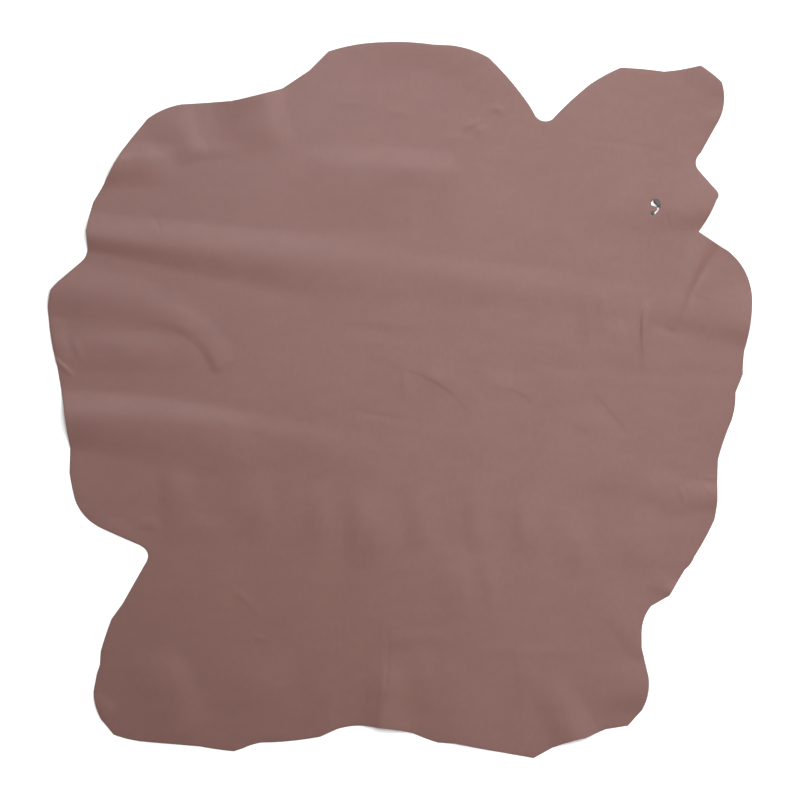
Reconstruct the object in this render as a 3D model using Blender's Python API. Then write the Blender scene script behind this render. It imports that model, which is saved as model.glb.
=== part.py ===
"""A whole cattle hide, tanned, trimmed and laid out on the ground with its grain side up.

The hide is one thin sheet. Its outline is a ring of knife cuts, one row for each cut, listed region by
region clockwise round the animal. Between its folds the sheet lies flat on the ground. Each row of the
fold table is one soft ridge: the run of its crest, how high it stands, and how far it spreads.

The tables are in millimetres, the finished object is in metres. +Z is up and +Y points to the neck.
The origin is on the ground under the middle of the hide.
"""
import math
from collections import namedtuple

import bmesh
import bpy
import numpy as np
from mathutils import Vector
from mathutils.geometry import delaunay_2d_cdt

MM = 0.001

THICKNESS = 1.5
RIM_STEP = 24.0             # longest side of the faceted outline
HOLE_STEP = 6.0             # and of the hole's rim
GROUND_PITCH = 52.0         # spacing of the sheet's points where it lies flat
FOLD_PITCH = GROUND_PITCH / 2
RIM_CLEARANCE = 0.55        # inner points keep this share of their pitch from a rim
SURROUND_RADIUS = 31.0      # ring of points round the hole
SURROUND_POINTS = 16
LEAST_LIFT = 0.05           # anything lower lies on the ground
CREST_STEPS = 12            # straight steps that stand for a crest's curve
LONGEST_CAP = 45.0          # a fold dies away within this beyond its ends
SHARP_ANGLE = math.radians(40.0)

LEATHER_COLOUR = (0.278, 0.158, 0.142, 1.0)
LEATHER_ROUGHNESS = 0.55

# A knife cut runs on from the end of the one before it to (x, y). Halfway along, it bows outwards from
# the straight line by `bow`, or inwards where `bow` is negative.
Cut = namedtuple("Cut", "x y bow")

NECK = (
    Cut(-41, 894, 5.5),
    Cut(81, 888, 3),
    Cut(126, 886, 0),
    Cut(221, 856, 5),
    Cut(308, 758, 3),
    Cut(339, 709, 1.5),
    Cut(380, 701, -8),
)
RIGHT_FORELEG = (
    Cut(476, 790, 2.5),
    Cut(552, 831, 0),
    Cut(660, 821, 1.5),
    Cut(751, 836, -2),
    Cut(804, 794, 2),
    Cut(791, 688, 12),
    Cut(752, 618, 0),
    Cut(751, 569, -12),
    Cut(791, 523, 0),
    Cut(790, 499, 5.5),
    Cut(747, 421, 3),
)
RIGHT_BELLY = (
    Cut(819, 374, -1),
    Cut(880, 249, 16.5),
    Cut(861, 124, 4),
    Cut(857, 64, -1),
    Cut(839, 19, 0),
    Cut(829, -51, 3),
    Cut(795, -149, -2),
    Cut(793, -251, -0.5),
    Cut(786, -299, 1),
    Cut(736, -391, 2),
    Cut(712, -424, 3),
    Cut(673, -489, 0),
)
RIGHT_HIND_LEG = (
    Cut(628, -515, 0),
    Cut(604, -581, -6),
    Cut(604, -618, 0),
    Cut(621, -691, 0),
    Cut(604, -776, 7),
    Cut(570, -814, 0),
    Cut(514, -823, 0),
    Cut(464, -844, 0),
    Cut(381, -869, -2),
    Cut(334, -895, 0),
)
RUMP = (
    Cut(226, -876, 0),
    Cut(139, -859, 0),
    Cut(94, -856, 0),
    Cut(33, -834, 1.5),
    Cut(-54, -821, -1),
    Cut(-159, -823, -7),
    Cut(-199, -841, 0),
    Cut(-344, -856, 3.5),
    Cut(-391, -870, -2),
    Cut(-415, -878, 0),
)
LEFT_HIND_LEG = (
    Cut(-499, -866, 1),
    Cut(-649, -853, 0),
    Cut(-716, -836, 2),
    Cut(-747, -798, 0),
    Cut(-766, -729, 4),
    Cut(-758, -685, 0),
    Cut(-750, -661, 0),
    Cut(-748, -628, 0),
    Cut(-721, -547, 1),
    Cut(-694, -510, 0),
    Cut(-639, -413, 0),
    Cut(-652, -362, -15.5),
)
LEFT_BELLY = (
    Cut(-749, -319, 0),
    Cut(-812, -250, 9),
    Cut(-826, -181, 1),
    Cut(-826, -121, 0),
    Cut(-843, -14, 3),
    Cut(-858, 86, 0),
    Cut(-880, 231, 4),
    Cut(-873, 276, 1),
    Cut(-844, 305, 1),
    Cut(-799, 344, 0),
    Cut(-781, 381, -5),
)
LEFT_FORELEG = (
    Cut(-784, 424, 0),
    Cut(-766, 496, 1.5),
    Cut(-739, 541, 0),
    Cut(-670, 656, 4),
    Cut(-631, 703, 0),
    Cut(-546, 739, 5.5),
    Cut(-421, 747, 0),
    Cut(-294, 779, -2),
    Cut(-226, 824, 0),
    Cut(-179, 871, 0),
)
OUTLINE = (NECK + RIGHT_FORELEG + RIGHT_BELLY + RIGHT_HIND_LEG + RUMP + LEFT_HIND_LEG
           + LEFT_BELLY + LEFT_FORELEG)

# The hole is a healed tear behind the right foreleg: a tongue of skin reaches into it from the left.
# Its cuts are measured from its own middle.
HOLE_CENTRE = (639, 481)
HOLE = (
    Cut(-2, 19, 3),
    Cut(12, 12, 4.5),
    Cut(10, -4, 2.5),
    Cut(-3, -18, 2),
    Cut(-12, -16, 3),
    Cut(-10, -9, 1),
    Cut(1, -4, 0),
    Cut(1, 0, 1.5),
    Cut(-12, 6, -1),
    Cut(-12, 12, 1),
)

# A fold's crest runs in one curve from `start` through `via` to `end`. `rise` is its height at those
# three points. `left` and `right` are how far it spreads to either side of the crest, looking along it,
# at its start and at its end.
Fold = namedtuple("Fold", "start via end rise left right")

LEFT_SIDE_FOLDS = (
    Fold((-830, 419), (-385, 366), (60, 320), (8, 8, 0), (46, 80), (38, 110)),      # across the shoulders
    Fold((-340, 366), (190, 300), (715, 240), (0, 4, 2), (75, 50), (80, 50)),
    Fold((-880, 279), (-585, 232), (-450, 108), (6, 4, 3), (90, 48), (80, 24)),     # curls in from the belly
    Fold((-830, 128), (-690, 126), (-530, 122), (1, 3, 1), (40, 40), (75, 70)),     # low swell under it
    Fold((-870, -46), (-560, -58), (-200, -118), (11, 11, 0), (52, 60), (75, 110)),  # across the flanks
    Fold((-380, -85), (-220, -102), (20, -165), (0, 3, 0), (60, 60), (90, 80)),
    Fold((-736, 604), (-660, 606), (-560, 608), (12, 6, 1), (48, 40), (80, 60)),    # left foreleg
    Fold((-552, 750), (-520, 640), (-372, 608), (2, 7, 0), (58, 38), (90, 50)),     # lip of its pocket
    Fold((-355, 800), (-335, 700), (-322, 640), (12, 8, 1), (60, 55), (150, 130)),  # rim over the pocket
)
NECK_FOLDS = (
    Fold((-300, 590), (-80, 571), (85, 552), (1, 9, 4), (72, 78), (110, 60)),       # over the withers
    Fold((-250, 846), (96, 900), (345, 700), (6, 5, 5), (50, 50), (85, 85)),        # rim of the neck
)
RIGHT_SIDE_FOLDS = (
    Fold((380, 492), (610, 482), (800, 474), (0, 3, 10), (100, 110), (80, 55)),     # carries the hole
    Fold((735, 845), (800, 795), (815, 745), (3, 5, 2), (40, 40), (60, 50)),        # right foreleg's tip
    Fold((806, 399), (775, 335), (738, 262), (4, 5, 1.5), (45, 30), (28, 16)),      # diagonal crease
    Fold((640, 214), (780, 203), (895, 185), (0, 5, 10), (110, 120), (26, 46)),     # lip of the bulge
    Fold((400, -180), (560, -200), (700, -250), (0, 3.2, 3), (95, 70), (45, 40)),   # right belly
    Fold((690, -240), (760, -240), (820, -240), (0, 4, 6), (50, 40), (45, 45)),
)
HIND_FOLDS = (
    Fold((450, -480), (535, -545), (605, -620), (0, 1.8, 2.6), (36, 36), (45, 55)),  # above the right leg
    Fold((480, -722), (570, -730), (625, -738), (0, 3, 5), (80, 80), (45, 45)),     # right hind leg
    Fold((330, -650), (403, -755), (450, -870), (0, 4.5, 9), (60, 75), (66, 78)),
    Fold((-30, -690), (-37, -760), (-46, -850), (1, 6, 7), (85, 95), (66, 66)),     # up from the rump
    Fold((-590, -650), (-580, -725), (-568, -800), (0, 7, 5), (50, 100), (125, 125)),  # left hind leg
    Fold((-760, -755), (-735, -778), (-700, -792), (2, 2, 0), (32, 32), (40, 40)),  # its toe
    Fold((-554, -190), (-556, -250), (-556, -310), (1, 3, 1), (58, 58), (34, 34)),  # soft dents
    Fold((-92, -250), (-98, -315), (-112, -392), (1.2, 3.6, 0.6), (92, 92), (44, 44)),
    Fold((300, -258), (318, -320), (312, -378), (0.8, 3.4, 0.6), (64, 64), (44, 44)),
)
FOLDS = LEFT_SIDE_FOLDS + NECK_FOLDS + RIGHT_SIDE_FOLDS + HIND_FOLDS


def cut_points(start, cut, step):
    """The points of one cut, from its start up to but not including its end."""
    run = Vector((cut.x, cut.y)) - start
    outwards = Vector((-run.y, run.x)).normalized()
    pieces = max(1, round(run.length / step), 3 if abs(cut.bow) > 2 else 1)
    points = []
    for index in range(pieces):
        share = index / pieces
        points.append(start + run * share + outwards * cut.bow * 4 * share * (1 - share))
    return points


def ring(cuts, step, centre=(0, 0)):
    """The closed ring of points that a run of cuts makes."""
    start = Vector((cuts[-1].x, cuts[-1].y))
    points = []
    for cut in cuts:
        points += cut_points(start, cut, step)
        start = Vector((cut.x, cut.y))
    return [point + Vector(centre) for point in points]


def crest_points(fold):
    """The crest's curve as an array of points, through its start, via and end."""
    start, via, end = (np.array(point, float) for point in (fold.start, fold.via, fold.end))
    pull = 2 * via - (start + end) / 2
    share = np.linspace(0, 1, CREST_STEPS + 1)[:, None]
    return (1 - share) ** 2 * start + 2 * share * (1 - share) * pull + share ** 2 * end


def crest_rise(fold, share):
    """The crest's height at a share of its run, eased between its three heights."""
    half = np.clip(share * 2, 0, 2)
    ease = (half % 1) ** 2 * (3 - 2 * (half % 1))
    first, middle, last = fold.rise
    rising = first + (middle - first) * ease
    falling = middle + (last - middle) * np.where(half >= 2, 1, ease)
    return np.where(half < 1, rising, falling)


def fold_lift(fold, points):
    """How far one fold lifts each of the points."""
    crest = crest_points(fold)
    nearest = np.full(len(points), np.inf)
    lift = np.zeros(len(points))
    cap = min(LONGEST_CAP, min(fold.left + fold.right))
    for index in range(CREST_STEPS):
        start = crest[index]
        run = crest[index + 1] - start
        length = np.hypot(*run)
        along = np.clip((points - start) @ run / length ** 2, 0, 1)
        share = (index + along) / CREST_STEPS
        away = points - start - along[:, None] * run
        distance = np.hypot(away[:, 0], away[:, 1])
        beyond = away @ run / length
        aside = (run[0] * away[:, 1] - run[1] * away[:, 0]) / length
        left, right = (np.interp(share, (0, 1), spread) for spread in (fold.left, fold.right))
        spread = np.where(aside > 0, left, right)
        at_end = (share == 0) | (share == 1)
        reach = np.where(at_end, (aside / spread) ** 2 + (beyond / cap) ** 2, (distance / spread) ** 2)
        height = crest_rise(fold, share) * (1 - np.minimum(reach, 1)) ** 2
        closer = distance < nearest
        nearest = np.where(closer, distance, nearest)
        lift = np.where(closer, height, lift)
    return lift


def sheet_lift(points):
    """The height of the sheet's underside above the ground at each of the points."""
    points = np.array([(point[0], point[1]) for point in points])
    lift = sum(fold_lift(fold, points) for fold in FOLDS)
    return np.where(lift < LEAST_LIFT, 0.0, lift)


def distance_to(rings, points):
    """Each point's distance to the nearest of the rings."""
    best = np.full(len(points), np.inf)
    for closed in rings:
        starts = np.array([tuple(point) for point in closed])
        for start, end in zip(starts, np.roll(starts, -1, axis=0)):
            run = end - start
            along = np.clip((points - start) @ run / (run @ run), 0, 1)
            away = points - start - along[:, None] * run
            best = np.minimum(best, np.hypot(away[:, 0], away[:, 1]))
    return best


def hole_surround():
    """A ring of points round the hole, which eases its short edges into the wide triangles."""
    turns = [2 * math.pi * index / SURROUND_POINTS for index in range(SURROUND_POINTS)]
    return [Vector(HOLE_CENTRE) + SURROUND_RADIUS * Vector((math.cos(turn), math.sin(turn)))
            for turn in turns]


def inner_points(rings):
    """A lattice of equal triangles that keeps clear of the rings, twice as close on the folds."""
    reach = max(max(abs(point.x), abs(point.y)) for point in rings[0])
    count = math.ceil(reach / FOLD_PITCH)
    row_height = FOLD_PITCH * math.sqrt(3) / 2
    rows = math.ceil(reach / row_height)
    lattice = []
    coarse = []
    for row in range(-rows, rows + 1):
        for column in range(-count, count + 1):
            lattice.append(((column + (row % 2) / 2) * FOLD_PITCH, row * row_height))
            coarse.append(row % 2 == 0 and (column - row // 2) % 2 == 0)
    lattice = np.array(lattice)
    coarse = np.array(coarse)
    clearance = distance_to(rings, lattice)
    folded = sheet_lift(lattice) > 0
    fine = folded & (clearance > RIM_CLEARANCE * FOLD_PITCH)
    flat = coarse & (clearance > RIM_CLEARANCE * GROUND_PITCH)
    return [Vector(point) for point in lattice[fine | flat]]


def flat_sheet():
    """The sheet's points and triangles in the plane, with the hole left out."""
    rims = [ring(OUTLINE, RIM_STEP), ring(HOLE, HOLE_STEP, HOLE_CENTRE)]
    points = []
    loops = []
    for rim in rims:
        loops.append(range(len(points), len(points) + len(rim)))
        points += rim
    surround = hole_surround()
    points += surround + inner_points(rims + [surround])
    inside_with_holes = 2
    corners, _, triangles, *_ = delaunay_2d_cdt(points, [], loops, inside_with_holes, 1e-6)
    return corners, triangles


def hide_mesh():
    """The closed sheet: first its underside, facing down, then its thickness on top of that."""
    corners, triangles = flat_sheet()
    sheet = bmesh.new()
    for corner, lift in zip(corners, sheet_lift(corners)):
        sheet.verts.new(Vector((corner.x, corner.y, lift)) * MM)
    sheet.verts.ensure_lookup_table()
    for triangle in triangles:
        sheet.faces.new([sheet.verts[index] for index in reversed(triangle)])
    loose = [point for point in sheet.verts if not point.link_faces]
    bmesh.ops.delete(sheet, geom=loose, context="VERTS")
    bmesh.ops.solidify(sheet, geom=sheet.faces[:], thickness=THICKNESS * MM)
    mesh = bpy.data.meshes.new("hide")
    sheet.to_mesh(mesh)
    sheet.free()
    mesh.shade_smooth()
    mesh.set_sharp_from_angle(angle=SHARP_ANGLE)
    return mesh


def leather():
    """The finished grain: dusty rose, half matt."""
    material = bpy.data.materials.new("leather")
    material.use_nodes = True
    shader = material.node_tree.nodes["Principled BSDF"]
    shader.inputs["Base Color"].default_value = LEATHER_COLOUR
    shader.inputs["Roughness"].default_value = LEATHER_ROUGHNESS
    shader.inputs["Metallic"].default_value = 0.0
    return material


def build():
    for old in list(bpy.data.objects):
        bpy.data.objects.remove(old, do_unlink=True)
    hide = bpy.data.objects.new("hide", hide_mesh())
    hide.data.materials.append(leather())
    bpy.context.scene.collection.objects.link(hide)


build()
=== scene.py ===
"""Looks of a whole tanned cattle hide, lying grain side up on a pale studio floor.

The visible sheet has the outline and the folds of its solid, repeated here in millimetres and refined,
with finer creases and dents added. +Z is up and +Y points to the neck.
"""

import math
from collections import namedtuple

import bpy
import numpy as np
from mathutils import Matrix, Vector
from mathutils.geometry import delaunay_2d_cdt


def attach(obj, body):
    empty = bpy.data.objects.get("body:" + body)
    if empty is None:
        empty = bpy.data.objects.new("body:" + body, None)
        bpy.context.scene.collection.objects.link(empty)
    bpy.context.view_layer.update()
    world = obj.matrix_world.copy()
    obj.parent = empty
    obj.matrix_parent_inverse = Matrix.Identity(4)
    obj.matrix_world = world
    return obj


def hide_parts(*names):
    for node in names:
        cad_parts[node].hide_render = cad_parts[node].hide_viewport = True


MM = 0.001

# The sheet and how finely it is divided, in millimetres.
THICKNESS = 1.5
DEEPEST_DENT = 0.8          # a crease presses the grain this far into the sheet at most
RIM_STEP = 7.0              # spacing of the points along the outline
HOLE_STEP = 1.6             # and along the hole's rim
GRAIN_PITCH = 4.0           # spacing of the grain side's points on its sharpest creases
FLESH_PITCH = 8.0           # and of the underside's points
LEVELS = (1, 2, 4)          # multiples of that spacing, from sharp crease to flat ground
POINTS_A_SPREAD = 4.0       # points across one side of a fold
RIM_CLEARANCE = 0.6         # inner points keep this share of their spacing from a rim
CREST_STEPS = 12            # straight steps that stand for a crest's curve
LONGEST_CAP = 45.0          # a fold dies away within this beyond its ends

# The rounded cut edge from the grain down to the flesh side: how far in from the outline, and how deep
# below the grain as a share of the thickness. The grain reaches round it to the depth `EDGE_FROM`.
RimRow = namedtuple("RimRow", "inset depth")
RIM = (
    RimRow(1.7, 0.0),
    RimRow(1.0, 0.05),
    RimRow(0.4, 0.2),
    RimRow(0.0, 0.5),
    RimRow(0.1, 0.85),
    RimRow(0.4, 1.0),
)
EDGE_FROM = 0.3

# A knife cut runs on from the end of the one before it to (x, y). Halfway along, it bows outwards from
# the straight line by `bow`, or inwards where `bow` is negative.
Cut = namedtuple("Cut", "x y bow")

NECK = (
    Cut(-41, 894, 5.5),
    Cut(81, 888, 3),
    Cut(126, 886, 0),
    Cut(221, 856, 5),
    Cut(308, 758, 3),
    Cut(339, 709, 1.5),
    Cut(380, 701, -8),
)
RIGHT_FORELEG = (
    Cut(476, 790, 2.5),
    Cut(552, 831, 2),
    Cut(660, 821, 1.5),
    Cut(751, 836, -2),
    Cut(804, 794, 2),
    Cut(791, 688, 12),
    Cut(752, 618, 0),
    Cut(751, 569, -12),
    Cut(791, 523, 0),
    Cut(790, 499, 5.5),
    Cut(747, 421, 3),
)
RIGHT_BELLY = (
    Cut(819, 374, -1),
    Cut(880, 249, 16.5),
    Cut(861, 124, 4),
    Cut(857, 64, -1),
    Cut(839, 19, 0),
    Cut(829, -51, 3),
    Cut(795, -149, -2),
    Cut(793, -251, -0.5),
    Cut(786, -299, 1),
    Cut(736, -391, 2),
    Cut(712, -424, 3),
    Cut(673, -489, 0),
)
RIGHT_HIND_LEG = (
    Cut(628, -515, 0),
    Cut(604, -581, -6),
    Cut(604, -618, 0),
    Cut(621, -691, 0),
    Cut(604, -776, 7),
    Cut(570, -814, 0),
    Cut(514, -823, 0),
    Cut(464, -844, 0),
    Cut(381, -869, -2),
    Cut(334, -895, 0),
)
RUMP = (
    Cut(226, -876, 0),
    Cut(139, -859, 0),
    Cut(94, -856, 0),
    Cut(33, -833, 1),
    Cut(-54, -819, -2),
    Cut(-159, -823, -7),
    Cut(-199, -841, 0),
    Cut(-344, -856, 3.5),
    Cut(-391, -870, -2),
    Cut(-415, -878, 0),
)
LEFT_HIND_LEG = (
    Cut(-499, -866, 1),
    Cut(-649, -853, 0),
    Cut(-716, -836, 2),
    Cut(-747, -798, 0),
    Cut(-766, -729, 4),
    Cut(-758, -685, 0),
    Cut(-750, -661, 0),
    Cut(-748, -628, 0),
    Cut(-721, -547, 1),
    Cut(-694, -510, 0),
    Cut(-639, -413, 0),
    Cut(-652, -362, -15.5),
)
LEFT_BELLY = (
    Cut(-749, -319, 0),
    Cut(-812, -250, 9),
    Cut(-826, -181, 1),
    Cut(-824, -121, 0),
    Cut(-840, -14, 1),
    Cut(-857, 86, 0),
    Cut(-880, 231, 4),
    Cut(-873, 276, 1),
    Cut(-844, 305, 1),
    Cut(-799, 344, 0),
    Cut(-781, 381, -5),
)
LEFT_FORELEG = (
    Cut(-784, 424, 0),
    Cut(-766, 496, 1.5),
    Cut(-739, 541, 0),
    Cut(-670, 656, 4),
    Cut(-631, 703, 0),
    Cut(-546, 739, 5.5),
    Cut(-421, 747, 0),
    Cut(-294, 779, -2),
    Cut(-226, 824, 0),
    Cut(-179, 871, 0),
)
OUTLINE = (NECK + RIGHT_FORELEG + RIGHT_BELLY + RIGHT_HIND_LEG + RUMP + LEFT_HIND_LEG
           + LEFT_BELLY + LEFT_FORELEG)

# The hole is a healed tear behind the right foreleg: a tongue of skin reaches into it from the left.
# Its cuts are measured from its own middle.
HOLE_CENTRE = (639, 481)
HOLE = (
    Cut(-3, 19, 1.5),
    Cut(10.5, 12, 4),
    Cut(8.5, -4, 1.5),
    Cut(-3.5, -17, 1.5),
    Cut(-11, -18, 1.5),
    Cut(-11, -11, 2),
    Cut(-0.5, -9.5, 0),
    Cut(4.5, -4.5, -0.8),
    Cut(3, 1.5, 1),
    Cut(-9, 5, 0),
    Cut(-11.5, 9, 1),
    Cut(-9, 16.5, 1.5),
)

# Two dark plates of painted shadow lie in the hole just above the ground, under its rim, where the floor
# seen through it lies in the sheet's shade; measured from the hole's middle.
HOLE_SHADOW_PLATES = (
    (Cut(-6, 20, 0), Cut(6, 20, 0), Cut(13, 13, 2), Cut(13, 0, 0), Cut(4, 0, 0), Cut(0.5, 7, 0),
     Cut(-6, 15, 1)),
    (Cut(-14, -8, 0), Cut(-4, -7, 0), Cut(-2.5, -12, 1), Cut(-4, -20, 0), Cut(-14, -20, 0)),
)
SHADOW_PLATE_TOP = 0.8             # height of the two faces of a painted shadow plate above the underside beside it
SHADOW_PLATE_FOOT = 0.3

# A fold's crest runs in one curve from `start` through `via` to `end`. `rise` is its height at those
# three points. `left` and `right` are how far it spreads to either side of the crest, looking along it,
# at its start and at its end.
Fold = namedtuple("Fold", "start via end rise left right")

LEFT_SIDE_FOLDS = (
    Fold((-830, 419), (-385, 366), (60, 320), (8, 7, 0), (60, 84), (38, 125)),        # across the shoulders
    Fold((-340, 366), (190, 297), (715, 222), (0, 2.7, 1.2), (66, 50), (100, 42)),    # and to the right
    Fold((-880, 279), (-655, 242), (-480, 170), (6, 3, 0), (80, 60), (85, 55)),       # curl from the belly
    Fold((-830, 128), (-690, 126), (-530, 122), (1.4, 3.2, 1), (52, 50), (60, 76)),   # low swell under it
    Fold((-870, -46), (-560, -58), (-210, -114), (11.5, 7, 0), (76, 56), (76, 180)),  # across the flanks
    Fold((-380, -88), (-220, -108), (20, -165), (0, 2, 0), (56, 60), (90, 80)),       # and past the middle
    Fold((-736, 604), (-650, 604), (-530, 602), (12.5, 8, 0), (48, 40), (84, 76)),    # left foreleg
    Fold((-562, 745), (-548, 685), (-520, 630), (1, 3, 3.6), (56, 42), (120, 66)),    # lip of its pocket
    Fold((-356, 800), (-336, 700), (-318, 600), (12.5, 7, 0), (60, 66), (140, 125)),  # rim over the pocket
)
NECK_FOLDS = (
    Fold((-330, 586), (-90, 578), (110, 566), (0, 6, 3.6), (62, 60), (170, 150)),   # over the withers
    Fold((-250, 846), (96, 900), (345, 700), (1.5, 5.6, 0.6), (50, 50), (95, 95)),  # rim of the neck
)
RIGHT_SIDE_FOLDS = (
    Fold((380, 492), (610, 482), (800, 474), (0, 2.9, 10), (140, 120), (110, 48)),   # carries the hole
    Fold((735, 845), (800, 795), (815, 745), (3, 5, 2), (40, 40), (60, 50)),         # right foreleg's tip
    Fold((785, 412), (730, 316), (686, 182), (4, 4.4, 1.4), (34, 12), (52, 26)),     # diagonal crease
    Fold((640, 214), (780, 203), (895, 185), (0, 5, 10), (110, 120), (40, 76)),      # lip of the bulge
    Fold((400, -180), (560, -200), (700, -250), (0, 2.2, 2.8), (95, 70), (62, 52)),  # right belly
    Fold((690, -240), (760, -240), (820, -240), (0, 4, 6), (50, 40), (45, 45)),
)
HIND_FOLDS = (
    Fold((450, -480), (535, -545), (605, -620), (0, 1.4, 2), (50, 100), (34, 42)),      # above the right leg
    Fold((450, -720), (560, -728), (625, -736), (0, 3.2, 6), (100, 90), (66, 60)),      # right hind leg
    Fold((350, -680), (406, -770), (450, -870), (0, 4.5, 8.5), (52, 64), (66, 72)),
    Fold((-22, -620), (-34, -740), (-46, -850), (0, 6.2, 9.5), (80, 95), (62, 68)),     # up from the rump
    Fold((-590, -615), (-577, -705), (-545, -815), (0, 5, 3.4), (58, 80), (110, 118)),  # left hind leg
    Fold((-760, -755), (-735, -778), (-700, -792), (2, 2, 0), (32, 32), (40, 40)),      # its toe
    Fold((-560, -130), (-562, -225), (-562, -318), (0, 2.9, 1), (58, 58), (46, 46)),    # low upright swells
    Fold((-84, -195), (-90, -320), (-112, -440), (0, 5.2, 0), (92, 92), (54, 54)),
    Fold((322, -195), (314, -315), (302, -430), (0, 3.7, 0), (62, 62), (42, 42)),
)
FOLDS = LEFT_SIDE_FOLDS + NECK_FOLDS + RIGHT_SIDE_FOLDS + HIND_FOLDS

# Finer forms than the solid holds: ridges, and troughs where the rise is negative.
LEFT_CREASES = (
    Fold((-868, 190), (-862, 140), (-850, 105), (1.2, 2.2, 1), (40, 36), (20, 20)),  # curled left edge
    Fold((-862, 100), (-835, 78), (-812, 55), (2, 1.5, 0), (9, 9), (14, 14)),
    Fold((-822, 175), (-805, 125), (-785, 85), (0, 0.5, 0), (12, 12), (14, 14)),
    Fold((-655, 206), (-530, 180), (-454, 88), (0, 2, 2.2), (60, 56), (30, 26)),     # crease of the curl
    Fold((-485, 622), (-440, 626), (-385, 628), (1, 0.9, 0), (28, 26), (30, 30)),    # foot of the pocket
    Fold((-618, 465), (-606, 442), (-597, 418), (-0.2, -0.4, -0.2), (8, 8), (10, 10)),
    Fold((-165, -20), (-60, -38), (80, -64), (0, -0.45, 0), (12, 12), (12, 12)),
    Fold((-555, -318), (-480, -322), (-400, -325), (0, 1.5, 0), (45, 45), (40, 40)),
    Fold((-680, -310), (-630, -310), (-590, -312), (0, 1, 0), (25, 25), (20, 20)),
    Fold((-730, -322), (-680, -340), (-640, -358), (1, 1.2, 0), (40, 40), (30, 30)),
)
NECK_CREASES = (
    Fold((150, 674), (182, 690), (212, 706), (0, 1.5, 0), (10, 10), (14, 14)),    # pinched crease
    Fold((212, 706), (240, 730), (266, 703), (0, 1.3, 0), (12, 12), (14, 14)),
    Fold((175, 668), (203, 675), (230, 668), (0, 1.2, 0), (18, 18), (25, 25)),
    Fold((-100, 588), (20, 584), (118, 574), (0, 2.4, 1.4), (50, 50), (62, 58)),  # crest of the withers
    Fold((-200, 750), (-120, 742), (-40, 748), (0, 0.5, 0), (10, 10), (14, 14)),  # growth lines
    Fold((-50, 738), (-10, 722), (40, 715), (0, 0.5, 0), (10, 10), (14, 14)),
    Fold((70, 655), (140, 657), (200, 650), (0, 0.4, 0), (9, 9), (12, 12)),
)
RIGHT_CREASES = (
    Fold((450, 648), (560, 642), (660, 620), (-0.2, -0.4, -0.3), (9, 9), (14, 14)),
    Fold((661, 475), (668, 450), (678, 424), (-0.3, -0.8, -0.3), (7, 7), (9, 9)),     # beside the hole
    Fold((815, 712), (790, 706), (745, 700), (4, 2, 0), (45, 30), (25, 20)),
    Fold((792, 346), (765, 308), (745, 268), (0.5, 1.6, 0.6), (70, 60), (12, 12)),
    Fold((630, 185), (662, 172), (690, 160), (-0.3, -0.7, -0.5), (25, 25), (12, 12)),
    Fold((470, 190), (570, 165), (680, 150), (0, 1.4, 0), (90, 90), (100, 100)),      # low swell
    Fold((622, 244), (609, 185), (617, 42), (0.4, 4, 0.3), (34, 34), (12, 12)),       # upright creases
    Fold((566, 204), (563, 135), (566, 30), (0, 1.6, 0), (12, 12), (45, 45)),
    Fold((473, 262), (471, 200), (469, 130), (0.5, 1.5, 0), (12, 12), (32, 32)),
    Fold((507, 252), (504, 205), (500, 155), (1, 1.2, 0), (22, 22), (15, 15)),
    Fold((475, 30), (513, -26), (565, -84), (-0.3, -1.1, -0.4), (12, 12), (34, 26)),  # slanting creases
    Fold((415, -38), (455, -58), (488, -78), (0, 1.1, 0), (40, 40), (22, 22)),
    Fold((228, 34), (296, 24), (352, -27), (0, 0.7, 0.2), (60, 60), (9, 9)),
    Fold((-10, 86), (101, 43), (176, -35), (0.2, 0.9, 0.3), (60, 60), (9, 9)),
    Fold((14, 84), (14, 32), (14, -28), (0, 1.1, 0), (32, 32), (16, 16)),
    Fold((95, 85), (98, 45), (98, 0), (0, 1, 0), (60, 60), (45, 45)),                 # low upright swells
    Fold((250, 70), (252, 35), (252, -5), (0, 1.2, 0), (60, 60), (45, 45)),
    Fold((410, 85), (412, 35), (413, -20), (0, 0.9, 0), (35, 35), (60, 60)),
    Fold((60, 80), (420, 76), (810, 62), (0, -0.35, -0.3), (30, 30), (26, 26)),
    Fold((-215, 182), (-60, 172), (110, 155), (-0.1, -0.75, -0.3), (25, 25), (32, 32)),
    Fold((682, -200), (708, -240), (712, -290), (0, 0.8, 0), (8, 8), (10, 10)),       # belly edge wrinkles
    Fold((752, -195), (768, -220), (780, -245), (0, 0.8, 0), (8, 8), (10, 10)),
    Fold((740, -190), (775, -195), (800, -197), (0, 0.5, 0.6), (9, 9), (12, 12)),
    Fold((768, -105), (758, -130), (748, -155), (0, 1, 0), (9, 9), (9, 9)),
    Fold((685, -482), (655, -466), (590, -445), (5, 1.6, 0), (25, 25), (26, 50)),     # corner of the belly
)
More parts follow.
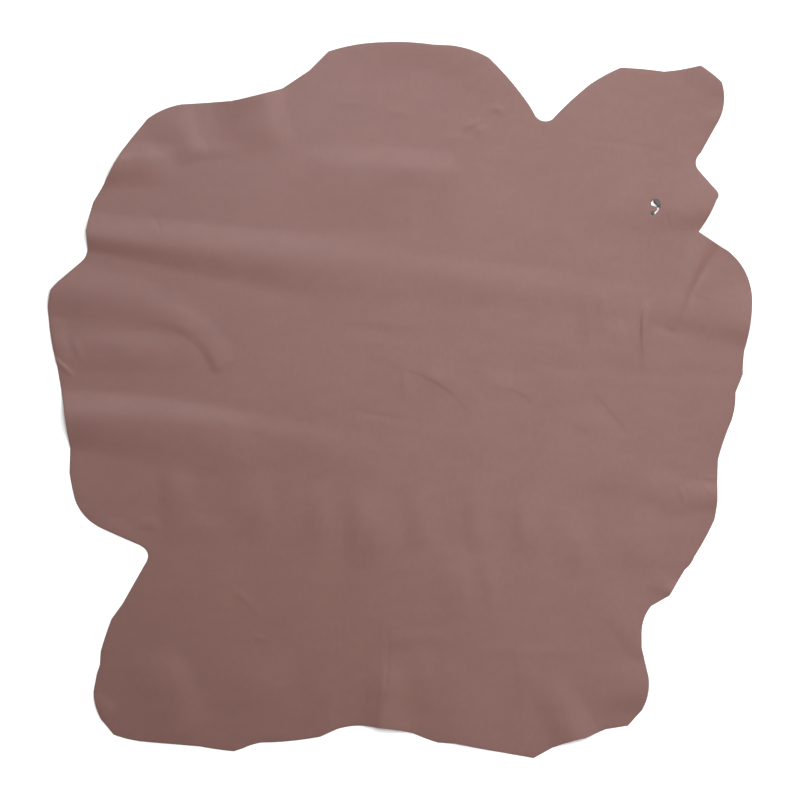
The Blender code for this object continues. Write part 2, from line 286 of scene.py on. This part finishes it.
HIND_CREASES = (
    Fold((54, -195), (52, -305), (50, -410), (0, 2.9, 0), (60, 60), (45, 45)),  # upright swells
    Fold((188, -190), (187, -300), (185, -410), (0, 2.7, 0), (52, 52), (34, 34)),
    Fold((438, -255), (439, -360), (440, -455), (0, 4, 0), (56, 56), (90, 90)),
    Fold((602, -280), (603, -370), (600, -455), (0, 2.8, 0), (90, 90), (72, 72)),
    Fold((152, -345), (149, -460), (150, -575), (0, 3, 0), (36, 36), (80, 80)),
    Fold((220, -385), (225, -465), (234, -550), (0, 1.5, 0), (28, 28), (28, 28)),
    Fold((-192, -190), (-199, -290), (-208, -400), (0, 2.8, 0), (42, 42), (46, 46)),
    Fold((-352, -165), (-354, -270), (-352, -375), (0, 3, 0), (52, 52), (110, 110)),
    Fold((-450, -455), (-385, -500), (-340, -545), (0, 0.6, 0), (18, 18), (14, 14)),
    Fold((-345, -600), (-340, -710), (-332, -815), (0, 3, 0.6), (90, 90), (130, 130)),
    Fold((-176, -640), (-182, -750), (-180, -840), (0, 2.2, 1.2), (40, 40), (72, 72)),
    Fold((-380, -585), (-345, -597), (-310, -605), (0, 0.5, 0), (14, 14), (12, 12)),
    Fold((-28, -600), (-32, -670), (-38, -740), (-0.4, -0.8, -0.4), (8, 8), (8, 8)),
    Fold((-30, -650), (-38, -740), (-48, -850), (0, 1.5, 2.4), (70, 70), (24, 24)),
    Fold((50, -600), (50, -695), (44, -790), (0, 2, 0), (46, 46), (50, 50)),
    Fold((156, -680), (160, -790), (158, -860), (0, 2, 2.4), (110, 110), (60, 60)),
    Fold((298, -605), (304, -680), (316, -770), (0, 1.3, 0), (50, 50), (24, 24)),
    Fold((-60, -598), (60, -594), (190, -590), (0, 0.9, 0), (26, 26), (32, 32)),
    Fold((180, -622), (340, -628), (560, -632), (0, 0.6, 0), (24, 24), (24, 24)),
)
CREASES = LEFT_CREASES + NECK_CREASES + RIGHT_CREASES + HIND_CREASES

# The floor and the camera, in metres.
FLOOR_SIZE = 14.0
FLOOR_DROP = 0.0002         # how far the floor lies below the hide
FLOOR_COLOUR = (0.93, 0.93, 0.93, 1.0)
FLOOR_ROUGHNESS = 0.9
CAMERA_HEIGHT = 6.0
VIEW_WIDTH = 2.0
SENSOR_WIDTH = 36.0         # millimetres

# A light is square and faces the middle of the hide from a `turn` from +X towards +Y and a `tilt` from
# straight above, in degrees. Its distance and size are in metres, and its power is in watts. Only one
# that is `mirrored` shows in the leather's gloss.
Light = namedtuple("Light", "name turn tilt distance size power mirrored")
LIGHTS = (
    Light("key", 50.0, 57.0, 10.0, 3.6, 790.0, True),
    Light("sheen", 95.0, 27.0, 3.6, 2.2, 64.0, True),
    Light("overhead", -15.0, 24.0, 2.4, 1.8, 30.0, False),
)
SKY_COLOUR = (1.0, 1.0, 1.0, 1.0)
SKY_STRENGTH = 0.38

# The last slot is for the dark plates of painted shadow in the hole.
GRAIN_SLOT, EDGE_SLOT, FLESH_SLOT, SHADOW_PLATE_SLOT = range(4)

# A leather's patterns carry its colour from `dark` to `pale` times the colour given here.
Leather = namedtuple("Leather", "name colour dark pale roughness")
GRAIN = Leather("grain", (0.1515, 0.0725, 0.063, 1.0), 0.925, 1.075, 0.5)
EDGE = Leather("cut_edge", (0.150, 0.082, 0.068, 1.0), 0.8, 1.2, 0.85)
FLESH = Leather("flesh", (0.245, 0.165, 0.145, 1.0), 0.84, 1.16, 0.95)
# The dark grey paint of the painted shadow plates in the hole.
PAINTED_HOLE_SHADOW = Leather("hole_shadow_paint", (0.072, 0.074, 0.072, 1.0), 0.7, 1.3, 0.9)
GLOSS_CHANGE = 0.02         # the grain's roughness changes by this either way
FLESH_SHEEN = 0.25

# Broad painted shade and painted light over the grain's colour, darker or paler where the lamps light the
# hide
# too much or too little: all of the tint within `near` of (x, y), and none of it beyond `far`, in
# millimetres.
LightSpot = namedtuple("LightSpot", "x y near far tint")
PAINTED_LIGHT_SPOTS = (
    LightSpot(-400, -700, 350, 680, (0.948, 0.928, 0.905, 1.0)),      # towards the left hind leg
    LightSpot(130, 820, 80, 400, (0.99, 0.96, 0.96, 1.0)),            # on the neck
    LightSpot(-350, 150, 300, 650, (0.986, 0.97, 0.96, 1.0)),         # over the left side
    LightSpot(500, -560, 200, 650, (1.008, 1.028, 1.034, 1.0)),       # paler on the right hind leg
)

# A cloudy pattern. Along each axis its largest lumps measure `size` metres divided by `scale`. `detail` is
# how many rounds of finer lumps it adds, and `swirl` how much it is pulled about.
Pattern = namedtuple("Pattern", "size scale detail swirl")
EVENLY = (1.0, 1.0, 1.0)
WRINKLES = Pattern(0.012, (0.45, 1.0, 1.0), 2.0, 0.8)
BLOTCHES = Pattern(0.16, EVENLY, 2.0, 0.4)
STREAKS = Pattern(0.03, (0.4, 1.0, 1.0), 2.0, 0.0)
SPECKS = Pattern(0.011, (1.0, 0.6, 1.0), 2.0, 0.0)
GLOSS = Pattern(0.033, EVENLY, 2.0, 0.0)
EDGE_FIBRES = Pattern(0.0009, (1.0, 1.0, 0.3), 3.0, 0.5)
NAP = Pattern(0.00135, EVENLY, 4.0, 0.6)
NAP_PATCHES = Pattern(0.16, EVENLY, 5.0, 1.0)
# The streaks of the dark plates of painted shadow in the hole come next, and their relief is below.
SHADOW_PLATE_FIBRES = Pattern(0.0027, (1.0, 0.5, 1.0), 3.0, 0.5)
PATTERN_LEAST = 0.3         # a pattern's values up to this count as its least
PATTERN_MOST = 0.7          # and from this on as its most

# Each pattern's part in the colour of its leather. The parts of one leather add up to 1.
BLOTCH_SHARE = 0.3
STREAK_SHARE = 0.31
SPECK_SHARE = 0.35
PEBBLE_SHARE = 0.04
NAP_SHARE = 0.4
PATCH_SHARE = 0.6

# The relief, in metres.
PEBBLE_SIZE = 0.0016
PEBBLE_DEPTH = 0.00004
WRINKLE_HEIGHT = 1.3        # times the depth of the pebbles
EDGE_DEPTH = 0.00005
NAP_DEPTH = 0.0001
SHADOW_PLATE_DEPTH = 0.00015

# Places of the sockets that blend two colours, among a Mix node's inputs and outputs.
MIX_SHARE, MIX_FIRST, MIX_SECOND = 0, 6, 7
MIX_RESULT = 2


def cut_points(start, cut, step):
    """The points of one cut, from its start up to but not including its end."""
    run = Vector((cut.x, cut.y)) - start
    outwards = Vector((-run.y, run.x)).normalized()
    pieces = max(1, round(run.length / step))
    points = []
    for index in range(pieces):
        share = index / pieces
        points.append(start + run * share + outwards * cut.bow * 4 * share * (1 - share))
    return points


def ring(cuts, step, centre=(0, 0)):
    """The closed ring of points that a run of cuts makes, as an array."""
    start = Vector((cuts[-1].x, cuts[-1].y))
    points = []
    for cut in cuts:
        points += cut_points(start, cut, step)
        start = Vector((cut.x, cut.y))
    return np.array([tuple(point + Vector(centre)) for point in points])


def leftwards(closed):
    """The unit normals of a closed ring, to the left of its run."""
    run = np.roll(closed, -1, axis=0) - np.roll(closed, 1, axis=0)
    run /= np.hypot(run[:, 0], run[:, 1])[:, None]
    return np.stack((-run[:, 1], run[:, 0]), axis=1)


def from_line(points, start, end):
    """The points' ways from the nearest places on a straight line, and those places' shares of its run."""
    run = end - start
    along = np.clip((points - start) @ run / (run @ run), 0, 1)
    return points - start - along[:, None] * run, along


def crest_points(fold):
    """The crest's curve as an array of points, through its start, via and end."""
    start, via, end = (np.array(point, float) for point in (fold.start, fold.via, fold.end))
    pull = 2 * via - (start + end) / 2
    share = np.linspace(0, 1, CREST_STEPS + 1)[:, None]
    return (1 - share) ** 2 * start + 2 * share * (1 - share) * pull + share ** 2 * end


def crest_rise(fold, share):
    """The crest's height at a share of its run, eased between its three heights."""
    half = np.clip(share * 2, 0, 2)
    ease = (half % 1) ** 2 * (3 - 2 * (half % 1))
    first, middle, last = fold.rise
    rising = first + (middle - first) * ease
    falling = middle + (last - middle) * np.where(half >= 2, 1, ease)
    return np.where(half < 1, rising, falling)


def near_fold(fold, points):
    """Which points lie in the box that a fold and its spread fill."""
    crest = crest_points(fold)
    spread = max(fold.left + fold.right)
    inside = (points > crest.min(0) - spread) & (points < crest.max(0) + spread)
    return np.flatnonzero(inside.all(axis=1))


def reach_across(fold, share, run, away):
    """The square of how far across a fold's spread the points are: 0 on its crest, 1 where it has ended.

    Each point is `away` from its nearest place on a straight step `run` of the crest, at a share of the
    whole crest.
    """
    length = np.hypot(*run)
    ahead = away @ run / length
    aside = (run[0] * away[:, 1] - run[1] * away[:, 0]) / length
    left, right = (np.interp(share, (0, 1), spread) for spread in (fold.left, fold.right))
    spread = np.where(aside > 0, left, right)
    cap = min(LONGEST_CAP, min(fold.left + fold.right))
    beyond_ends = (aside / spread) ** 2 + (ahead / cap) ** 2
    beside = (np.hypot(away[:, 0], away[:, 1]) / spread) ** 2
    at_end = (share == 0) | (share == 1)
    return np.minimum(np.where(at_end, beyond_ends, beside), 1)


def fold_form(fold, points):
    """One fold's lift at each of the points, and whether it covers them at all."""
    crest = crest_points(fold)
    nearest = np.full(len(points), np.inf)
    lift = np.zeros(len(points))
    covered = np.zeros(len(points), bool)
    for index, (start, end) in enumerate(zip(crest, crest[1:])):
        away, along = from_line(points, start, end)
        share = (index + along) / CREST_STEPS
        reach = reach_across(fold, share, end - start, away)
        distance = np.hypot(away[:, 0], away[:, 1])
        lift = np.where(distance < nearest, crest_rise(fold, share) * (1 - reach) ** 2, lift)
        nearest = np.minimum(distance, nearest)
        covered |= reach < 1
    return lift, covered


def sheet_lift(points):
    """The height of the folds and creases at each of the points, below zero in a dent."""
    lift = np.zeros(len(points))
    for fold in FOLDS + CREASES:
        near = near_fold(fold, points)
        lift[near] += fold_form(fold, points[near])[0]
    return lift


def wanted_pitch(points):
    """How far apart the sheet's points may lie around each of the points."""
    pitch = np.full(len(points), np.inf)
    for fold in FOLDS + CREASES:
        near = near_fold(fold, points)
        covered = fold_form(fold, points[near])[1]
        fine = min(fold.left + fold.right) / POINTS_A_SPREAD
        pitch[near] = np.where(covered, np.minimum(pitch[near], fine), pitch[near])
    return pitch


def rows_between(points, low, high):
    """The slice of the points, which are sorted by y, that lies between two values of y."""
    return slice(*np.searchsorted(points[:, 1], (low, high)))


def held_by(closed, points):
    """Which of the points, sorted by y, lie inside a closed ring."""
    held = np.zeros(len(points), bool)
    for start, end in zip(closed, np.roll(closed, -1, axis=0)):
        rows = rows_between(points, min(start[1], end[1]), max(start[1], end[1]))
        share = (points[rows, 1] - start[1]) / (end[1] - start[1])
        held[rows] ^= points[rows, 0] < start[0] + share * (end[0] - start[0])
    return held


def clearance(rings, points, furthest):
    """The distance from each of the points, sorted by y, to the nearest ring, up to a furthest one."""
    best = np.full(len(points), furthest)
    for closed in rings:
        for start, end in zip(closed, np.roll(closed, -1, axis=0)):
            low, high = min(start[1], end[1]) - furthest, max(start[1], end[1]) + furthest
            rows = rows_between(points, low, high)
            away, _ = from_line(points[rows], start, end)
            best[rows] = np.minimum(best[rows], np.hypot(away[:, 0], away[:, 1]))
    return best


def lattice_points(pitch, reach):
    """A lattice of equal triangles sorted by y, and each point's level: the coarsest it belongs to."""
    row_height = pitch * math.sqrt(3) / 2
    rows, columns = math.ceil(reach / row_height), math.ceil(reach / pitch)
    row, column = (grid.ravel() for grid in np.mgrid[-rows:rows + 1, -columns:columns + 1])
    points = np.stack(((column + (row % 2) / 2) * pitch, row * row_height), axis=1)
    slant = column - row // 2
    level = np.zeros(len(points), int)
    for multiple in LEVELS:
        level[(row % multiple == 0) & (slant % multiple == 0)] = multiple
    return points, level


def inner_points(pitch, rims):
    """The lattice's points inside the rims, as close together as the folds want them."""
    points, level = lattice_points(pitch, np.abs(rims[0]).max())
    coarsest = LEVELS[-1]
    next_pitch = level * pitch * 2
    kept = (level == coarsest) | (wanted_pitch(points) < next_pitch)
    for rim, inside in zip(rims, (True, False)):
        kept &= held_by(rim, points) == inside
    points, level = points[kept], level[kept]
    clear = clearance(rims, points, coarsest * pitch) > RIM_CLEARANCE * level * pitch
    return points[clear]


def flat_sheet(rims, pitch):
    """The sheet's points and triangles in the plane, and where the rims' points are among them."""
    points = np.concatenate(rims + [inner_points(pitch, rims)])
    loops = []
    start = 0
    for rim in rims:
        loops.append(list(range(start, start + len(rim))))
        start += len(rim)
    inside_with_holes = 2
    merged_within = 1e-6
    corners, _, triangles, origins, *_ = delaunay_2d_cdt(
        [Vector(point) for point in points], [], loops, inside_with_holes, merged_within)
    place = {origin: index for index, group in enumerate(origins) for origin in group}
    rim_places = [[place[index] for index in loop] for loop in loops]
    return np.array([tuple(corner) for corner in corners]), triangles, rim_places


def heights(points):
    """The heights of the underside and of the grain at each of the points."""
    lift = sheet_lift(points)
    return np.maximum(lift, 0), THICKNESS + np.maximum(lift, -DEEPEST_DENT)


class Surface:
    """A mesh's vertices in millimetres, its faces and their material slots, gathered part by part."""

    def __init__(self):
        self.vertices = []
        self.faces = []
        self.slots = []

    def add_points(self, points, height):
        """Adds points of the plane at their heights, and returns their places among the vertices."""
        start = len(self.vertices)
        self.vertices += np.column_stack((points, height)).tolist()
        return list(range(start, len(self.vertices)))

    def add_faces(self, faces, slot):
        """Adds faces that all have one slot; each is the places of its vertices."""
        self.faces += faces
        self.slots += [slot] * len(faces)

    def add_band(self, upper, lower, slot):
        """Joins two closed rings of vertices with a band of four-sided faces."""
        corners = zip(upper, upper[1:] + upper[:1], lower[1:] + lower[:1], lower)
        self.add_faces(list(corners), slot)

    def as_mesh(self, name):
        mesh = bpy.data.meshes.new(name)
        mesh.from_pydata((np.array(self.vertices) * MM).tolist(), [], self.faces)
        mesh.polygons.foreach_set("material_index", self.slots)
        mesh.shade_smooth()
        return mesh


def at_places(places, groups):
    """The groups of indices turned into groups of places among the vertices."""
    return [[places[index] for index in group] for group in groups]


def add_side(surface, rims, pitch, slot):
    """Adds the grain side or the underside, and returns the places of its rims' vertices."""
    points, triangles, rim_indices = flat_sheet(rims, pitch)
    underside, grain = heights(points)
    if slot == GRAIN_SLOT:
        places = surface.add_points(points, grain)
    else:
        places = surface.add_points(points, underside)
        triangles = [face[::-1] for face in triangles]
    surface.add_faces(at_places(places, triangles), slot)
    return at_places(places, rim_indices)


def add_cut_edge(surface, rows, upper, lowest):
    """Adds one rim's rounded edge, from the grain's vertices down over its rows to the underside's."""
    for row, rim in zip(RIM[1:], rows[1:]):
        if row is RIM[-1]:
            lower = lowest
        else:
            below, above = heights(rim)
            lower = surface.add_points(rim, above - row.depth * (above - below))
        surface.add_band(upper, lower, EDGE_SLOT if row.depth > EDGE_FROM else GRAIN_SLOT)
        upper = lower


def add_shadow_plate(surface, cuts):
    """Adds one plate of painted shadow: a flat dark plate that follows the ground below it."""
    outline = ring(cuts, HOLE_STEP, HOLE_CENTRE)
    ground = heights(outline)[0]
    top = surface.add_points(outline, ground + SHADOW_PLATE_TOP)
    foot = surface.add_points(outline, ground + SHADOW_PLATE_FOOT)
    surface.add_faces([tuple(reversed(top)), tuple(foot)], SHADOW_PLATE_SLOT)
    surface.add_band(top, foot, SHADOW_PLATE_SLOT)


def sheet_mesh():
    """The closed sheet with its rounded cut edges, and the dark plates of painted shadow in its hole."""
    rims = [ring(OUTLINE, RIM_STEP), ring(HOLE, HOLE_STEP, HOLE_CENTRE)[::-1]]
    rows = [[rim - leftwards(rim) * row.inset for rim in rims] for row in RIM]
    surface = Surface()
    grain_rims = add_side(surface, rows[0], GRAIN_PITCH, GRAIN_SLOT)
    flesh_rims = add_side(surface, rows[-1], FLESH_PITCH, FLESH_SLOT)
    for which, (upper, lowest) in enumerate(zip(grain_rims, flesh_rims)):
        add_cut_edge(surface, [row[which] for row in rows], upper, lowest)
    # Dark plates of painted shadow where the floor in the hole lies in shade.
    for cuts in HOLE_SHADOW_PLATES:
        add_shadow_plate(surface, cuts)
    return surface.as_mesh("hide_leather")


def shader_of(material):
    return material.node_tree.nodes["Principled BSDF"]


def new_material(name, colour, roughness):
    material = bpy.data.materials.new(name)
    material.use_nodes = True
    shader = shader_of(material)
    shader.inputs["Base Color"].default_value = colour
    shader.inputs["Roughness"].default_value = roughness
    return material


def leather_material(leather):
    return new_material(leather.name, leather.colour, leather.roughness)


def add_node(material, kind, inputs, **settings):
    """A new node with its settings; an input takes a plain value or another node's output."""
    tree = material.node_tree
    node = tree.nodes.new(kind)
    for name, value in settings.items():
        setattr(node, name, value)
    for name, value in inputs.items():
        if isinstance(value, bpy.types.NodeSocket):
            tree.links.new(value, node.inputs[name])
        else:
            node.inputs[name].default_value = value
    return node


def feed(material, name, value):
    """Drives one input of the material's shader with another node's output."""
    material.node_tree.links.new(value, shader_of(material).inputs[name])


def place_of(material, scale=EVENLY):
    """The surface's own coordinates in metres, multiplied by a scale along each axis."""
    own = add_node(material, "ShaderNodeTexCoord", {}).outputs["Object"]
    return add_node(material, "ShaderNodeMapping", {"Vector": own, "Scale": scale}).outputs["Vector"]


def cloudy(material, pattern):
    """A pattern's value at each place: from 0 to 1, and mostly near the middle."""
    inputs = {"Vector": place_of(material, pattern.scale), "Scale": 1 / pattern.size,
              "Detail": pattern.detail, "Distortion": pattern.swirl}
    return add_node(material, "ShaderNodeTexNoise", inputs).outputs["Fac"]


def between(material, value, low, high):
    """A pattern's value carried over to a range: low at its least and high at its most."""
    inputs = {"Value": value, "From Min": PATTERN_LEAST, "From Max": PATTERN_MOST,
              "To Min": low, "To Max": high}
    return add_node(material, "ShaderNodeMapRange", inputs).outputs["Result"]


def total(material, first, *others):
    """The sum of some values."""
    for other in others:
        first = add_node(material, "ShaderNodeMath", {0: first, 1: other}, operation="ADD").outputs[0]
    return first


def blend(material, share, first, second, kind="MIX"):
    """A colour that runs from the first to the second as the share runs from 0 to 1."""
    inputs = {MIX_SHARE: share, MIX_FIRST: first, MIX_SECOND: second}
    node = add_node(material, "ShaderNodeMix", inputs, data_type="RGBA", blend_type=kind)
    return node.outputs[MIX_RESULT]


def shaded(material, leather, share):
    """A leather's colour, from its dark shade to its pale one as the share runs from 0 to 1."""
    dark, pale = (tuple(channel * factor for channel in leather.colour[:3]) + (1.0,)
                  for factor in (leather.dark, leather.pale))
    return blend(material, share, dark, pale)


def under_painted_light(material, colour, light_spot):
    """The colour with one broad spot of painted shade or painted light over it."""
    middle = (light_spot.x * MM, light_spot.y * MM, 0.0)
    ends = {0: place_of(material), 1: middle}
    away = add_node(material, "ShaderNodeVectorMath", ends, operation="DISTANCE").outputs["Value"]
    fading = {"Value": away, "From Min": light_spot.near * MM, "From Max": light_spot.far * MM,
              "To Min": 1.0, "To Max": 0.0}
    share = add_node(material, "ShaderNodeMapRange", fading, interpolation_type="SMOOTHSTEP")
    return blend(material, share.outputs["Result"], colour, light_spot.tint, "MULTIPLY")


def relief(material, height, depth):
    """Raises the surface by up to `depth` metres where the height is 1."""
    bump = add_node(material, "ShaderNodeBump", {"Height": height, "Distance": depth, "Strength": 1.0})
    feed(material, "Normal", bump.outputs["Normal"])


def grain_leather():
    """Fine uneven pebbles with pores between them, over soft streaks and blotches of the finish, with broad
    painted light and shade on top.
    """
    material = leather_material(GRAIN)
    pebbles = add_node(material, "ShaderNodeTexVoronoi",
                       {"Vector": place_of(material), "Scale": 1 / PEBBLE_SIZE}).outputs["Distance"]
    crowns = between(material, pebbles, 1.0, 0.0)
    wrinkles = between(material, cloudy(material, WRINKLES), 0.0, WRINKLE_HEIGHT)
    relief(material, total(material, crowns, wrinkles), PEBBLE_DEPTH)
    blotches = between(material, cloudy(material, BLOTCHES), 0.0, BLOTCH_SHARE)
    streaks = between(material, cloudy(material, STREAKS), 0.0, STREAK_SHARE)
    specks = between(material, cloudy(material, SPECKS), 0.0, SPECK_SHARE)
    pale_crowns = between(material, crowns, 0.0, PEBBLE_SHARE)
    colour = shaded(material, GRAIN, total(material, streaks, specks, blotches, pale_crowns))
    # Broad spots of painted shade, and one of painted light, over the grain's colour.
    for light_spot in PAINTED_LIGHT_SPOTS:
        colour = under_painted_light(material, colour, light_spot)
    feed(material, "Base Color", colour)
    rough = between(material, cloudy(material, GLOSS), GRAIN.roughness - GLOSS_CHANGE,
                    GRAIN.roughness + GLOSS_CHANGE)
    feed(material, "Roughness", rough)
    return material


def fibrous_leather(leather, pattern, depth):
    """A leather that shows its fibres alone, in its colour and its relief."""
    material = leather_material(leather)
    fibres = cloudy(material, pattern)
    feed(material, "Base Color", shaded(material, leather, between(material, fibres, 0.0, 1.0)))
    relief(material, fibres, depth)
    return material


def cut_leather():
    """The knife's cut: the fibres of the flesh under the thin stained grain."""
    return fibrous_leather(EDGE, EDGE_FIBRES, EDGE_DEPTH)


def flesh_leather():
    """The suede-like flesh side: short nap, lying this way and that in soft patches."""
    material = leather_material(FLESH)
    nap = cloudy(material, NAP)
    patches = between(material, cloudy(material, NAP_PATCHES), 0.0, PATCH_SHARE)
    share = total(material, patches, between(material, nap, 0.0, NAP_SHARE))
    feed(material, "Base Color", shaded(material, FLESH, share))
    shader_of(material).inputs["Sheen Weight"].default_value = FLESH_SHEEN
    relief(material, nap, NAP_DEPTH)
    return material


def shadow_plate_material():
    """Dark grey plates of painted shadow in the hole, streaked and rough."""
    return fibrous_leather(PAINTED_HOLE_SHADOW, SHADOW_PLATE_FIBRES, SHADOW_PLATE_DEPTH)


def plain_stage():
    """A wide pale floor just under the hide."""
    mesh = bpy.data.meshes.new("floor")
    half = FLOOR_SIZE / 2
    mesh.from_pydata([(-half, -half, -FLOOR_DROP), (half, -half, -FLOOR_DROP),
                      (half, half, -FLOOR_DROP), (-half, half, -FLOOR_DROP)], [], [(0, 1, 2, 3)])
    floor = bpy.data.objects.new("floor", mesh)
    floor.data.materials.append(new_material("floor_white", FLOOR_COLOUR, FLOOR_ROUGHNESS))
    bpy.context.scene.collection.objects.link(floor)


def add_light(light):
    data = bpy.data.lights.new(light.name, "AREA")
    data.shape = "SQUARE"
    data.size = light.size
    data.energy = light.power
    turn, tilt = math.radians(light.turn), math.radians(light.tilt)
    direction = Vector((math.cos(turn) * math.sin(tilt), math.sin(turn) * math.sin(tilt), math.cos(tilt)))
    lamp = bpy.data.objects.new(light.name, data)
    lamp.location = direction * light.distance
    lamp.rotation_euler = direction.to_track_quat("Z", "Y").to_euler()
    lamp.visible_glossy = light.mirrored
    bpy.context.scene.collection.objects.link(lamp)


def studio():
    """A large far light from the upper right, two nearer ones from high above, and an even white sky."""
    for light in LIGHTS:
        add_light(light)
    world = bpy.data.worlds.new("sky")
    world.use_nodes = True
    background = world.node_tree.nodes["Background"]
    background.inputs["Color"].default_value = SKY_COLOUR
    background.inputs["Strength"].default_value = SKY_STRENGTH
    bpy.context.scene.world = world


def camera():
    """Straight above the hide, far enough for an even scale over its folds."""
    data = bpy.data.cameras.new("camera")
    data.sensor_width = SENSOR_WIDTH
    data.lens = SENSOR_WIDTH * CAMERA_HEIGHT / VIEW_WIDTH
    view = bpy.data.objects.new("camera", data)
    view.location = (0, 0, CAMERA_HEIGHT)
    bpy.context.scene.collection.objects.link(view)
    bpy.context.scene.camera = view
    bpy.context.scene.view_settings.view_transform = "Standard"


def dress():
    """Puts the visible leather in the place of the solid."""
    hide = bpy.data.objects.new("hide_leather", sheet_mesh())
    # The last material is the dark paint of the painted shadow plates in the hole.
    for material in (grain_leather(), cut_leather(), flesh_leather(), shadow_plate_material()):
        hide.data.materials.append(material)
    bpy.context.scene.collection.objects.link(hide)
    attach(hide, "root")
    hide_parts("hide")


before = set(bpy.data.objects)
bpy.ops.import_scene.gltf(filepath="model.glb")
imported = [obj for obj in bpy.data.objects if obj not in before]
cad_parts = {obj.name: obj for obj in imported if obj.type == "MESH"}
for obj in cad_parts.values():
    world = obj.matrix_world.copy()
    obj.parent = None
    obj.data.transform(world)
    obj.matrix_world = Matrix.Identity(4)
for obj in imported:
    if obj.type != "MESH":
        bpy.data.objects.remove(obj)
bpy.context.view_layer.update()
dress()
plain_stage()
studio()
camera()
